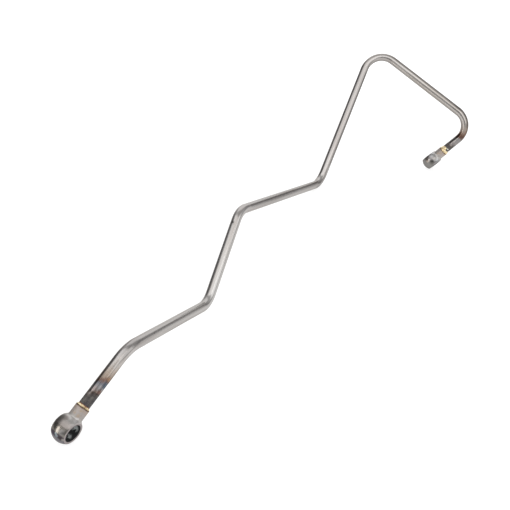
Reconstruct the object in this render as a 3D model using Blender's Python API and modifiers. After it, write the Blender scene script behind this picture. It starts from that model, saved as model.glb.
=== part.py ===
"""Steel fuel line with a banjo eye brazed on each end.

The line is one hollow tube with six bends. Each eye is turned from bar as a ball on a neck, then milled flat on
both sides and bored across for a hollow bolt. The neck has a socket for the tube and a drilling into the bore.
The line lies on a level floor as it comes to rest, on both eyes and on the outside of the fourth bend.

Metres, +Z up. The origin is on the floor, under the middle of the line's bounding box.
"""

from math import asin, ceil, cos, pi, radians, sin, sqrt

import bmesh
import bpy
from mathutils import Euler, Matrix, Vector

MM = 0.001

# Tube
TUBE_OD = 8.0 * MM
TUBE_WALL = 1.0 * MM
BEND_RADIUS = 19.0 * MM
TUBE_SIDES = 20
BEND_STEP = 7.5

# One row for each bend: straight run before it (mm), turn of the bend plane about the tube, bend (degrees).
# The first run starts at the mouth of the inlet eye.
BEND_TABLE = (
    (36.0, 0.0, 54.5),
    (92.5, 156.5, 53.0),
    (67.0, 175.0, 51.0),
    (150.0, -167.0, 66.5),
    (117.0, 107.5, 108.0),
    (85.0, 33.5, 101.0),
)
# Last straight run, up to the mouth of the outlet eye
LAST_RUN = 19.0 * MM

# Banjo eye for an M12 hollow bolt
BALL_D = 19.4 * MM
ACROSS_FACES = 12.0 * MM
BORE_D = 12.0 * MM
BORE_EDGE = 0.25 * MM
NECK_D = 10.0 * MM
NECK_REACH = 16.5 * MM
NECK_ROOT_RADIUS = 1.6 * MM
MOUTH_CHAMFER = 0.4 * MM
DRILLING_D = 5.0 * MM
TURNED_SIDES = 36

# The tube stands this deep in each socket, with a gap all round for the brazing metal
SOCKET_DEPTH = 7.5 * MM
GAP = 0.3 * MM

# Turn of each eye's bore about the tube, from the normal of the nearest bend plane
INLET_CLOCK = -10.0
OUTLET_CLOCK = 98.0

# Brazing metal at the two mouths: length along the tube, and height over the tube at the mouth
INLET_BRAZE = (1.1 * MM, 0.9 * MM)
OUTLET_BRAZE = (3.6 * MM, 1.0 * MM)

# Attitude of the first run as the line lies on the floor: roll of its bend plane, climb and heading (degrees)
LAY_ROLL = -69.0
LAY_CLIMB = 32.0
LAY_HEADING = -4.0

# Finishes: colour, roughness, metallic
DRAWN_STEEL = ((0.46, 0.44, 0.42), 0.32, 1.0)
TINTED_STEEL = ((0.34, 0.31, 0.29), 0.38, 1.0)
BRAZING_METAL = ((0.83, 0.68, 0.36), 0.35, 1.0)


def clear_scene():
    for obj in list(bpy.data.objects):
        bpy.data.objects.remove(obj, do_unlink=True)


def make_collection(name):
    collection = bpy.data.collections.new(name)
    bpy.context.scene.collection.children.link(collection)
    return collection


def make_material(name, finish):
    colour, roughness, metallic = finish
    material = bpy.data.materials.new(name)
    material.use_nodes = True
    shader = material.node_tree.nodes["Principled BSDF"]
    shader.inputs["Base Color"].default_value = (*colour, 1.0)
    shader.inputs["Roughness"].default_value = roughness
    shader.inputs["Metallic"].default_value = metallic
    material.diffuse_color = (*colour, 1.0)
    return material


def along(frame, distance):
    """The frame moved along its own X, which is the tube's axis."""
    return frame @ Matrix.Translation((distance, 0.0, 0.0))


def bend_frame(frame, angle):
    """The frame carried round a bend towards its own Y."""
    centre = Vector((0.0, BEND_RADIUS, 0.0))
    return (frame @ Matrix.Translation(centre) @ Matrix.Rotation(angle, 4, "Z")
            @ Matrix.Translation(-centre))


def tube_frames():
    """Frames along the tube from mouth to mouth: X runs along it and Y points to the inside of the bend."""
    frame = Matrix.Identity(4)
    frames = [frame]
    for run, turn, bend in BEND_TABLE:
        frame = along(frame, run * MM) @ Matrix.Rotation(radians(turn), 4, "X")
        frames.append(frame)
        steps = ceil(bend / BEND_STEP)
        frames += [bend_frame(frame, radians(bend) * i / steps) for i in range(1, steps + 1)]
        frame = frames[-1]
    frames.append(along(frame, LAST_RUN))
    return frames


def add_to(collection, obj, parent, matrix):
    collection.objects.link(obj)
    obj.parent = parent
    obj.matrix_local = matrix
    return obj


def make_tube(name, frames, collection, parent, material):
    """A POLY curve with an open round bevel, given its wall by Solidify."""
    insert = SOCKET_DEPTH - GAP
    centres = [along(frames[0], -insert)] + frames + [along(frames[-1], insert)]
    curve = bpy.data.curves.new(name, "CURVE")
    curve.dimensions = "3D"
    curve.bevel_depth = TUBE_OD / 2
    curve.bevel_resolution = (TUBE_SIDES - 4) // 2
    curve.use_fill_caps = False
    spline = curve.splines.new("POLY")
    spline.points.add(len(centres) - 1)
    for point, frame in zip(spline.points, centres):
        point.co = (*frame.translation, 1.0)
    curve.materials.append(material)
    tube = add_to(collection, bpy.data.objects.new(name, curve), parent, Matrix.Identity(4))
    wall = tube.modifiers.new("wall", "SOLIDIFY")
    wall.thickness = TUBE_WALL
    wall.offset = -1.0
    wall.use_even_offset = True
    wall.use_rim = True
    return tube


def arc(centre, radius, start, end, steps):
    """Points (x, r) on an arc in the profile plane, angles in radians from +X towards the outside."""
    return [(centre[0] + radius * cos(start + (end - start) * i / steps),
             centre[1] + radius * sin(start + (end - start) * i / steps)) for i in range(steps + 1)]


def turned(name, profile, closed, sides):
    """A body turned about X. The profile's outer side runs from +X to -X."""
    mesh = bpy.data.meshes.new(name)
    shape = bmesh.new()
    points = [shape.verts.new((x, r, 0.0)) for x, r in profile]
    for a, b in zip(points, points[1:]):
        shape.edges.new((a, b))
    if closed:
        shape.edges.new((points[-1], points[0]))
    shape.to_mesh(mesh)
    shape.free()
    obj = bpy.data.objects.new(name, mesh)
    screw = obj.modifiers.new("turn", "SCREW")
    screw.axis = "X"
    screw.angle = 2 * pi
    screw.steps = sides
    screw.render_steps = sides
    screw.use_merge_vertices = True
    screw.merge_threshold = 0.00001
    screw.use_smooth_shade = True
    return obj


def eye_profile():
    """Half section of the turned blank: drilling, socket, mouth, neck, root fillet and ball."""
    ball = BALL_D / 2
    neck = NECK_D / 2
    root = NECK_ROOT_RADIUS
    socket = TUBE_OD / 2 + GAP
    drilling = DRILLING_D / 2
    floor = NECK_REACH - SOCKET_DEPTH
    # The root fillet's centre is one radius outside both the ball and the neck
    root_x = sqrt((ball + root) ** 2 - (neck + root) ** 2)
    ball_start = asin((neck + root) / (ball + root))
    inside = [(0.0, 0.0), (0.0, drilling), (floor, drilling), (floor, socket), (NECK_REACH, socket)]
    mouth = [(NECK_REACH, neck - MOUTH_CHAMFER), (NECK_REACH - MOUTH_CHAMFER, neck)]
    fillet = arc((root_x, neck + root), root, -pi / 2, -pi + ball_start, 4)
    sphere = arc((0.0, 0.0), ball, ball_start, pi, 14)[1:]
    sphere[-1] = (-ball, 0.0)
    return inside + mouth + fillet + sphere


def bore_profile():
    """Half section of the bore cutter: plain in the middle, with its edges opened at the sealing faces."""
    half = ACROSS_FACES / 2
    bore = BORE_D / 2
    past = 1.0 * MM
    wide = bore + BORE_EDGE + past
    return [(half + past, 0.0), (half + past, wide), (half - BORE_EDGE, bore),
            (BORE_EDGE - half, bore), (-half - past, wide), (-half - past, 0.0)]


def hide_cutter(cutter):
    cutter.hide_render = True
    cutter.display_type = "WIRE"


def make_eye(name, matrix, collection, cutters, parent, material):
    """A turned blank, milled to its sealing faces and bored across along its own Z."""
    eye = add_to(collection, turned(name, eye_profile(), False, TURNED_SIDES), parent, matrix)
    eye.data.materials.append(material)

    slab_mesh = bpy.data.meshes.new(name + "_faces")
    slab = bmesh.new()
    bmesh.ops.create_cube(slab, size=1.0)
    bmesh.ops.scale(slab, vec=(4 * BALL_D, 2 * BALL_D, ACROSS_FACES), verts=slab.verts)
    slab.to_mesh(slab_mesh)
    slab.free()
    faces = add_to(cutters, bpy.data.objects.new(name + "_faces", slab_mesh), eye, Matrix.Identity(4))

    # Half a side of turn keeps the bore's edges off the drilling's
    half_side = Matrix.Rotation(pi / TURNED_SIDES, 4, "X")
    bore = turned(name + "_bore", bore_profile(), False, TURNED_SIDES)
    add_to(cutters, bore, eye, Matrix.Rotation(pi / 2, 4, "Y") @ half_side)

    for cutter, operation in ((faces, "INTERSECT"), (bore, "DIFFERENCE")):
        hide_cutter(cutter)
        cut = eye.modifiers.new(cutter.name, "BOOLEAN")
        cut.operation = operation
        cut.solver = "EXACT"
        cut.object = cutter
    return eye


def braze_profile(length, height):
    """Half section of a ring of brazing metal: full at the mouth, hollow down to the tube."""
    inner = TUBE_OD / 2 + GAP
    crest = TUBE_OD / 2 + height
    toe = inner + 0.1 * MM
    hollow = [(GAP + length * (1 - t), toe + (crest - toe) * t ** 1.6) for t in (0.0, 0.25, 0.5, 0.75, 1.0)]
    return [(GAP, inner), (GAP + length, inner)] + hollow


def make_braze(name, size, matrix, collection, parent, material):
    ring = add_to(collection, turned(name, braze_profile(*size), True, TURNED_SIDES), parent, matrix)
    ring.data.materials.append(material)
    return ring


def lay_on_floor(carrier, pieces):
    """Moves the carrier so that the pieces stand on Z = 0 with the middle of their box at the origin."""
    bpy.context.view_layer.update()
    depsgraph = bpy.context.evaluated_depsgraph_get()
    corners = []
    for piece in pieces:
        solid = piece.evaluated_get(depsgraph)
        mesh = solid.to_mesh()
        corners += [solid.matrix_world @ vertex.co for vertex in mesh.vertices]
        solid.to_mesh_clear()
    low = [min(c[i] for c in corners) for i in range(3)]
    high = [max(c[i] for c in corners) for i in range(3)]
    carrier.location -= Vector(((low[0] + high[0]) / 2, (low[1] + high[1]) / 2, low[2]))
    bpy.context.view_layer.update()


def main():
    clear_scene()
    line = make_collection("fuel_line")
    cutters = make_collection("fuel_line_cutters")

    carrier = bpy.data.objects.new("line_attitude", None)
    line.objects.link(carrier)
    carrier.rotation_euler = Euler((radians(LAY_ROLL), radians(-LAY_CLIMB), radians(LAY_HEADING)))

    steel = make_material("drawn_steel", DRAWN_STEEL)
    tinted = make_material("tinted_steel", TINTED_STEEL)
    braze = make_material("brazing_metal", BRAZING_METAL)

    frames = tube_frames()
    inlet = frames[0] @ Matrix.Rotation(radians(INLET_CLOCK), 4, "X")
    outlet = frames[-1] @ Matrix.Rotation(radians(OUTLET_CLOCK), 4, "X")
    turned_back = Matrix.Rotation(pi, 4, "Z")

    pieces = [make_tube("fuel_tube", frames, line, carrier, steel)]
    pieces.append(make_eye("inlet_banjo_eye", along(inlet, -NECK_REACH), line, cutters, carrier, tinted))
    pieces.append(make_eye("outlet_banjo_eye", along(outlet, NECK_REACH) @ turned_back,
                           line, cutters, carrier, tinted))
    pieces.append(make_braze("inlet_braze_ring", INLET_BRAZE, inlet, line, carrier, braze))
    pieces.append(make_braze("outlet_braze_ring", OUTLET_BRAZE, outlet @ turned_back, line, carrier, braze))
    lay_on_floor(carrier, pieces)


main()
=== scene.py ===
# %% [markdown]
# # A brazed steel fuel line, one piece at a time
#
# The real line is one steel tube, bent cold on a tube bender, with a turned steel banjo eye brazed to
# each end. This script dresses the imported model: every solid there gets a finer piece in exactly the same
# place, and each finish is built from nodes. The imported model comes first, because every size and place
# is taken against it.

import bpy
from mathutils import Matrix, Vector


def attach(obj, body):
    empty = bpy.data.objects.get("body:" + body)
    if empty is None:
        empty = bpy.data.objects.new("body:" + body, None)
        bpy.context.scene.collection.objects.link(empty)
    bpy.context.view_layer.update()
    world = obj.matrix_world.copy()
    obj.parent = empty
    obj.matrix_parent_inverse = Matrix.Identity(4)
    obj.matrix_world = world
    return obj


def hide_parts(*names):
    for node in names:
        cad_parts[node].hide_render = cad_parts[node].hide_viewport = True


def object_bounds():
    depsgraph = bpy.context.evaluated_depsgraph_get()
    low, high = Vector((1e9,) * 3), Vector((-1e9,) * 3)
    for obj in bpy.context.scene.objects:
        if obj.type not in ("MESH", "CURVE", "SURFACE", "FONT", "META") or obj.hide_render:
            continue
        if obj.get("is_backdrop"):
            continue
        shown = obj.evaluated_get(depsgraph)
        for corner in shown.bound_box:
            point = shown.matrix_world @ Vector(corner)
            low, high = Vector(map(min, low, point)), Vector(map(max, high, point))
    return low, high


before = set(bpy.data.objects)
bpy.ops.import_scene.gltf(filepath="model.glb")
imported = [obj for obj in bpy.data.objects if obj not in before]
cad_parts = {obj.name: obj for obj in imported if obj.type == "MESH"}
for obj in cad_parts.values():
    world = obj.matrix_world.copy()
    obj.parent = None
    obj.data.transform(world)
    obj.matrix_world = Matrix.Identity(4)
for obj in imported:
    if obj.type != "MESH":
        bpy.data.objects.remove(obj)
cad_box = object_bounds()
print("packed nodes:", sorted(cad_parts))

# %% Modules and units
from math import asin, ceil, cos, hypot, pi, radians, sin, sqrt

import bmesh
import bpy
from mathutils import Euler, Matrix, Vector, noise

MM = 0.001
scene = bpy.context.scene
scene.view_settings.view_transform = "Standard"

# %% [markdown]
# ## The camera
#
# A camera could be dragged about until the picture looks right. Here it is set as a photographer would
# write it down: the point it aims at, how far away it stands, which way it faces and how steeply it looks
# down. The line is long and thin, so half a degree shows, and numbers like these are easier to correct
# than a dragged view.

# %% Set up the camera
AIM = Vector((-0.05614, -0.02439, 0.040))
CAMERA_DISTANCE = 0.55636
# Which way it faces, from +X towards +Y, how steeply it looks down, and its roll (degrees)
CAMERA_HEADING = 39.415
CAMERA_DOWN = 33.635
CAMERA_ROLL = -0.359
LENS = 50.0
SENSOR = 36.0
NEAREST = 0.01

camera = bpy.data.objects.new("camera", bpy.data.cameras.new("camera"))
scene.collection.objects.link(camera)
camera.data.lens = LENS
camera.data.sensor_width = SENSOR
camera.data.clip_start = NEAREST
turned_view = (Matrix.Rotation(radians(CAMERA_HEADING - 90.0), 4, "Z")
               @ Matrix.Rotation(radians(90.0 - CAMERA_DOWN), 4, "X")
               @ Matrix.Rotation(radians(CAMERA_ROLL), 4, "Z"))
stood_back = Matrix.Translation((0.0, 0.0, CAMERA_DISTANCE))
camera.matrix_world = Matrix.Translation(AIM) @ turned_view @ stood_back
scene.camera = camera
print("camera stands at", [round(v, 4) for v in camera.matrix_world.translation])

# %% [markdown]
# ## Small helpers for node materials
#
# Every finish here is a graph of nodes. A node can be dragged in by hand, or added, set and wired in
# three lines of code. These helpers make that one line, so that a finish reads like a recipe: a socket
# goes in, a socket comes out.


# %% Add and wire a node
def add_node(tree, kind, **settings):
    node = tree.nodes.new("ShaderNode" + kind)
    for name, value in settings.items():
        setattr(node, name, value)
    return node


def feed(tree, socket, value):
    """Wires a socket to a socket, or sets it to a number, a colour or a vector."""
    if isinstance(value, bpy.types.NodeSocket):
        tree.links.new(value, socket)
    elif isinstance(value, tuple) and len(value) == 3 and socket.type == "RGBA":
        socket.default_value = (*value, 1.0)
    else:
        socket.default_value = value


def new_finish(name):
    material = bpy.data.materials.new(name)
    material.use_nodes = True
    return material, material.node_tree, material.node_tree.nodes["Principled BSDF"]


# %% Arithmetic between sockets
def calculate(tree, operation, *values):
    node = add_node(tree, "Math", operation=operation)
    for socket, value in zip(node.inputs, values):
        feed(tree, socket, value)
    return node.outputs[0]


def plus(tree, first, second):
    return calculate(tree, "ADD", first, second)


def minus(tree, first, second):
    return calculate(tree, "SUBTRACT", first, second)


def times(tree, first, second):
    return calculate(tree, "MULTIPLY", first, second)


def opposite(tree, share):
    """1 where the share is 0, and 0 where it is 1."""
    return minus(tree, 1.0, share)


def between(tree, value, low, high, step="SMOOTHSTEP"):
    """0 below low, 1 above high, and a step from one to the other, smooth or LINEAR."""
    node = add_node(tree, "MapRange", interpolation_type=step)
    for socket, number in zip(node.inputs, (value, low, high, 0.0, 1.0)):
        feed(tree, socket, number)
    return node.outputs[0]


def until(tree, value, low, high):
    """1 below low, 0 above high, and a smooth step from one to the other."""
    return opposite(tree, between(tree, value, low, high))


# %% Places and patterns
def parts_of(tree, vector):
    node = add_node(tree, "SeparateXYZ")
    feed(tree, node.inputs[0], vector)
    return node.outputs


def carried_place(tree, layer):
    """The place of a point on the piece before it was bent or laid down, in millimetres."""
    read = add_node(tree, "Attribute", attribute_name=layer)
    scaled = add_node(tree, "VectorMath", operation="SCALE")
    feed(tree, scaled.inputs[0], read.outputs["Vector"])
    scaled.inputs["Scale"].default_value = 1.0 / MM
    return scaled.outputs[0]


def stretched(tree, vector, scale):
    node = add_node(tree, "Mapping")
    feed(tree, node.inputs["Vector"], vector)
    feed(tree, node.inputs["Scale"], scale)
    return node.outputs[0]


def cloudy(tree, vector, size, detail=2.0, roughness=0.5):
    """Noise from 0 to 1 with blots of about this size, in the vector's units."""
    node = add_node(tree, "TexNoise")
    feed(tree, node.inputs["Vector"], vector)
    feed(tree, node.inputs["Scale"], 1.0 / size)
    feed(tree, node.inputs["Detail"], detail)
    feed(tree, node.inputs["Roughness"], roughness)
    return node.outputs[0]


def spot(tree, place, centre, core, edge):
    """1 within core of a point and 0 beyond edge."""
    away = add_node(tree, "VectorMath", operation="DISTANCE")
    feed(tree, away.inputs[0], place)
    feed(tree, away.inputs[1], Vector(centre))
    return until(tree, away.outputs["Value"], core, edge)


# %% Colours and relief
def blend_colours(tree, share, first, second, how="MIX"):
    node = add_node(tree, "Mix", data_type="RGBA", blend_type=how)
    feed(tree, node.inputs[0], share)
    feed(tree, node.inputs[6], first)
    feed(tree, node.inputs[7], second)
    return node.outputs[2]


# A film that changes nothing
CLEAR = (1.0, 1.0, 1.0)


def filmed(tree, share, colour, film):
    """Multiplies a colour by a film's, as a film of oxide does to bright metal."""
    return blend_colours(tree, share, colour, film, "MULTIPLY")


def colour_steps(tree, value, steps):
    """A ramp through (place, colour) pairs, for a value from the first place to the last."""
    low, high = steps[0][0], steps[-1][0]
    share = between(tree, value, low, high, "LINEAR")
    node = add_node(tree, "ValToRGB")
    stops = node.color_ramp.elements
    while len(stops) < len(steps):
        stops.new(1.0)
    for stop, (place, colour) in zip(stops, steps):
        stop.position = (place - low) / (high - low)
        stop.color = (*colour, 1.0)
    tree.links.new(share, node.inputs[0])
    return node.outputs[0]


def add_relief(tree, shader, height, strength, depth):
    bump = add_node(tree, "Bump")
    bump.inputs["Strength"].default_value = strength
    bump.inputs["Distance"].default_value = depth
    feed(tree, bump.inputs["Height"], height)
    tree.links.new(bump.outputs[0], shader.inputs["Normal"])


# %% [markdown]
# ## The floor
#
# Bare steel has almost no colour of its own: it shows what stands round it, and half of that is the
# floor. A plain white plane could do. This paper glows, brighter to the back and dim at the sides,
# because the same fade then runs along the tube. A thin gloss under the line mirrors the low light on the
# left, and is gone further off, where the lamp itself would show.

# %% Floor
FLOOR_HALF = 4.0
PAPER_GREY = (0.28, 0.28, 0.28)
PAPER_ROUGHNESS = 0.9
# The gloss: its strength, its blur, and where it starts to fade and has gone (metres)
GLOSS = 0.6
GLOSS_BLUR = 0.08
GLOSS_FADES, GLOSS_GONE = 0.25, 0.75
# The glow in the middle, and what it gains towards the back over what distance (metres)
GLOW = 0.84
GLOW_GAIN = 0.4
GLOW_RISE = 0.9
# The fan of glow: how it widens to the back, its soft edge (metres), and how far it dims beyond
FAN_WIDENS = 0.33
FAN_EDGE, FAN_END = 0.26, 0.60
FAN_DIMS = 0.55

floor_shape = bmesh.new()
bmesh.ops.create_grid(floor_shape, x_segments=1, y_segments=1, size=FLOOR_HALF)
floor_mesh = bpy.data.meshes.new("studio_floor")
floor_shape.to_mesh(floor_mesh)
floor_shape.free()
floor = bpy.data.objects.new("studio_floor", floor_mesh)
scene.collection.objects.link(floor)
floor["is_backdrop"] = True
print("floor is", 2 * FLOOR_HALF, "metres across")


# %% Pale paper
def pale_paper():
    material, tree, shader = new_finish("pale_paper")
    shader.inputs["Base Color"].default_value = (*PAPER_GREY, 1.0)
    shader.inputs["Roughness"].default_value = PAPER_ROUGHNESS
    shader.inputs["Emission Color"].default_value = (1.0, 1.0, 1.0, 1.0)
    place = add_node(tree, "TexCoord").outputs["Object"]
    from_middle = add_node(tree, "VectorMath", operation="LENGTH")
    feed(tree, from_middle.inputs[0], place)
    glossy = until(tree, from_middle.outputs["Value"], GLOSS_FADES, GLOSS_GONE)
    feed(tree, shader.inputs["Coat Weight"], times(tree, glossy, GLOSS))
    shader.inputs["Coat Roughness"].default_value = GLOSS_BLUR
    # The fan opens away from the camera, so it is turned to the camera's heading
    turned = add_node(tree, "Mapping")
    feed(tree, turned.inputs["Vector"], place)
    turned.inputs["Rotation"].default_value = (0.0, 0.0, radians(-CAMERA_HEADING))
    back, aside, up = parts_of(tree, turned.outputs[0])
    fan = minus(tree, calculate(tree, "ABSOLUTE", aside), times(tree, back, FAN_WIDENS))
    dim = times(tree, between(tree, fan, FAN_EDGE, FAN_END), FAN_DIMS)
    glow = plus(tree, GLOW, times(tree, between(tree, back, 0.0, GLOW_RISE), GLOW_GAIN))
    feed(tree, shader.inputs["Emission Strength"], minus(tree, glow, dim))
    print("paper nodes", len(tree.nodes))
    return material


floor_mesh.materials.append(pale_paper())

# %% [markdown]
# ## Studio light
#
# A large light overhead, one on each side and one behind give the tube its pale bands. One lamp would
# leave a thin bright line and a black tube, so every light here is broad and soft. Each faces the middle
# of the floor and may slide in its own plane, which moves its reflection and leaves its direction alone.
# The camera doesn't see the lamps, as a studio keeps them out of the picture.

# %% Lights
WHITE = (1.0, 1.0, 1.0)
WARM = (1.0, 0.97, 0.92)


def softbox(name, azimuth, elevation, distance, size, radiance, colour=WHITE, slide=(0.0, 0.0)):
    """A rectangular light that faces the middle of the floor. Azimuth runs from +X towards +Y."""
    light = bpy.data.lights.new(name, "AREA")
    light.shape = "RECTANGLE"
    light.size, light.size_y = size
    light.energy = radiance * pi * size[0] * size[1]
    light.color = colour
    lamp = bpy.data.objects.new(name, light)
    scene.collection.objects.link(lamp)
    lamp.matrix_world = (Matrix.Rotation(radians(azimuth + 90.0), 4, "Z")
                         @ Matrix.Rotation(radians(90.0 - elevation), 4, "X")
                         @ Matrix.Translation((*slide, distance)))
    lamp.visible_camera = False
    print(name, "power", round(light.energy, 2))
    return lamp


softbox("light_overhead", -170.0, 90.0, 1.1, (1.74, 1.02), 0.85, slide=(0.23, -0.46))
softbox("light_right", -92.0, 34.0, 1.3, (1.6, 1.0), 0.8, slide=(0.15, -0.05))
softbox("light_left", 165.0, 15.0, 1.2, (0.32, 0.90), 3.8, WARM)
softbox("light_behind", 32.0, 33.0, 1.6, (1.5, 1.9), 0.55)

# %% [markdown]
# ## The room round it
#
# Between its pale bands the tube mirrors the room. An even grey would leave it flat there, and a panorama
# would be a picture. Here a few soft areas, darker or brighter, are blended into a grey room, each round
# one direction.

# %% The dim room between the lights
ROOM_GREY = (0.58, 0.58, 0.58)
# Azimuth and elevation of an area, the half angle where it has faded out (degrees), and its grey
ROOM_AREAS = (
    (114.0, 10.0, 50.0, (0.13, 0.13, 0.135)),
    (-150.0, 20.0, 50.0, (0.85, 0.85, 0.85)),
    (-12.0, 2.0, 28.0, (0.34, 0.34, 0.345)),
    (-151.0, 2.0, 30.0, (0.22, 0.22, 0.225)),
)
# Share of the half angle that has the area's full grey
AREA_CORE = 0.4


def towards(azimuth, elevation):
    flat = cos(radians(elevation))
    return Vector((flat * cos(radians(azimuth)), flat * sin(radians(azimuth)), sin(radians(elevation))))


def shade_room(tree, colour, azimuth, elevation, half_angle, grey):
    look = add_node(tree, "TexCoord").outputs["Generated"]
    facing = add_node(tree, "VectorMath", operation="DOT_PRODUCT")
    feed(tree, facing.inputs[0], look)
    feed(tree, facing.inputs[1], towards(azimuth, elevation))
    rim, core = (cos(radians(angle)) for angle in (half_angle, half_angle * AREA_CORE))
    share = between(tree, facing.outputs["Value"], rim, core)
    return blend_colours(tree, share, colour, grey)


world = bpy.data.worlds.new("dim_room")
scene.world = world
world.use_nodes = True
room = world.node_tree.nodes["Background"]
haze = ROOM_GREY
for area in ROOM_AREAS:
    haze = shade_room(world.node_tree, haze, *area)
feed(world.node_tree, room.inputs["Color"], haze)
print("areas blended into the room:", len(ROOM_AREAS))

# %% [markdown]
# ## The route, as the tube bender makes it
#
# A bent tube could follow a list of points in space. A real one is made from a bend table: a straight
# run, a turn of the tube about itself, a bend, and so on, all round one die. The same table gives every
# point here, and it gives the tube's section at each point too, because a bend always flattens a tube a
# little.

# %% Bend table and attitude
TUBE_OD = 8.0 * MM
TUBE_WALL = 1.0 * MM
BEND_RADIUS = 19.0 * MM
# Straight run before the bend (mm), turn of the bend plane about the tube and bend (degrees)
BEND_TABLE = (
    (36.0, 0.0, 54.5),
    (92.5, 156.5, 53.0),
    (67.0, 175.0, 51.0),
    (150.0, -167.0, 66.5),
    (117.0, 107.5, 108.0),
    (85.0, 33.5, 101.0),
)
LAST_RUN = 19.0
TUBE_IN_SOCKET = 7.2

# Where the tube leaves the first eye, and how the whole line lies on the floor
FIRST_MOUTH = Vector((-0.234783, -0.028852, 0.018561))
LAY_ROLL, LAY_CLIMB, LAY_HEADING = -69.0, 32.0, -4.0
lying_turn = Euler((radians(LAY_ROLL), radians(-LAY_CLIMB), radians(LAY_HEADING)))
lying = Matrix.Translation(FIRST_MOUTH) @ lying_turn.to_matrix().to_4x4()
print("bends", len(BEND_TABLE), "turning in all", sum(bend for run, turn, bend in BEND_TABLE), "degrees")

# %% Steps of the bender
STRAIGHT_STEP = 3.0
BEND_STEP = 2.5
# How much a bend of 100 degrees flattens the tube towards its centre
FLATTENING = 0.055


def along(place, distance):
    return place @ Matrix.Translation((distance, 0.0, 0.0))


def round_bend(place, angle):
    """Carries a place round a bend towards its own Y."""
    centre = Vector((0.0, BEND_RADIUS, 0.0))
    turn = Matrix.Rotation(angle, 4, "Z")
    return place @ Matrix.Translation(centre) @ turn @ Matrix.Translation(-centre)


# %% Stations along the tube
def tube_stations():
    """(place, length of tube so far, turn so far, flattening) from one socket to the other.

    X of a place runs along the tube and Y points to the inside of the next bend."""
    place = along(lying, -TUBE_IN_SOCKET * MM)
    length = -TUBE_IN_SOCKET * MM
    turned = 0.0
    stations = [(place, length, turned, 0.0)]

    def run_on(distance):
        nonlocal place, length
        steps = ceil(distance / STRAIGHT_STEP)
        for i in range(steps):
            place = along(place, distance * MM / steps)
            length += distance * MM / steps
            stations.append((place, length, turned, 0.0))

    run_on(TUBE_IN_SOCKET)
    for run, turn, bend in BEND_TABLE:
        run_on(run)
        place = place @ Matrix.Rotation(radians(turn), 4, "X")
        turned += radians(turn)
        steps = ceil(bend / BEND_STEP)
        start, began = place, length
        for i in range(1, steps + 1):
            place = round_bend(start, radians(bend) * i / steps)
            length = began + BEND_RADIUS * radians(bend) * i / steps
            # The flattening grows over the first fifth of a bend and dies away over the last
            ramp = min(1.0, 5.0 * i / steps, 5.0 * (steps - i) / steps)
            stations.append((place, length, turned, FLATTENING * bend / 100.0 * ramp))
    run_on(LAST_RUN + TUBE_IN_SOCKET)
    return stations


stations = tube_stations()
second_mouth = along(stations[-1][0], -TUBE_IN_SOCKET * MM)
TUBE_LENGTH = stations[-1][1] - TUBE_IN_SOCKET * MM
print("stations", len(stations), "developed length mm", round(TUBE_LENGTH / MM, 1))

# %% [markdown]
# ## The tube
#
# A bevelled curve would give a round tube at once, but its section can't change. Here one circle is
# extruded from station to station, and set down a little flatter wherever the tube was bent. Each point
# also keeps the place that it had on the straight tube, in a layer called "blank": scratches, tints and
# tool marks can then be laid out on the straight tube and still follow every bend.

# %% Set a ring of the tube down
TUBE_SIDES = 56
# Share of the flattening by which the section spreads the other way
SPREAD = 0.4


def set_ring(ring, layer, station):
    """Sets one ring of the tube down. The bender turns the tube, so the section turns back by as much."""
    place, length, turned, flat = station
    section = (place @ Matrix.Diagonal((1.0, 1.0 - flat, 1.0 + SPREAD * flat, 1.0))
               @ Matrix.Rotation(-turned, 4, "X"))
    for vertex in ring:
        old = vertex[layer]
        vertex[layer] = Vector((length, old.y, old.z))
        vertex.co = section @ Vector((0.0, old.y, old.z))


def make_object(name, shape):
    """A smooth object at the origin from a bmesh, which is freed."""
    mesh = bpy.data.meshes.new(name)
    shape.to_mesh(mesh)
    shape.free()
    mesh.shade_smooth()
    obj = bpy.data.objects.new(name, mesh)
    scene.collection.objects.link(obj)
    return obj


# %% Extrude the tube
def extrude_tube():
    shape = bmesh.new()
    layer = shape.verts.layers.float_vector.new("blank")
    bmesh.ops.create_circle(shape, segments=TUBE_SIDES, radius=TUBE_OD / 2)
    bmesh.ops.rotate(shape, verts=shape.verts, matrix=Matrix.Rotation(pi / 2, 3, "Y"))
    ring, edges = shape.verts[:], shape.edges[:]
    for vertex in ring:
        vertex[layer] = vertex.co
    set_ring(ring, layer, stations[0])
    for station in stations[1:]:
        grown = bmesh.ops.extrude_edge_only(shape, edges=edges)["geom"]
        ring = [item for item in grown if isinstance(item, bmesh.types.BMVert)]
        fresh = set(ring)
        edges = [item for item in grown if isinstance(item, bmesh.types.BMEdge)
                 and item.verts[0] in fresh and item.verts[1] in fresh]
        set_ring(ring, layer, station)
    bmesh.ops.recalc_face_normals(shape, faces=shape.faces)
    return make_object("drawn_tube", shape)


tube = extrude_tube()
wall = tube.modifiers.new("wall", "SOLIDIFY")
wall.thickness = TUBE_WALL
wall.offset = -1.0
print("tube faces", len(tube.data.polygons))

# %% [markdown]
# ## Heat tints along the tube
#
# Brazing heats the tube red hot at each eye. Nearest the joint it is left with grey-black scale, and
# further off with the temper colours: lilac grey, blue, brown and straw, then bare drawn steel. They
# could be painted band by band. A ramp over the distance from the joint gives them all, one ramp for each
# end, because no two joints are heated alike. The flame played on one side, so the colours reach further
# there, and a little noise in the distance makes their edges ragged.

# %% Temper colours
BARE_STEEL = (0.475, 0.451, 0.434)
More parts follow.
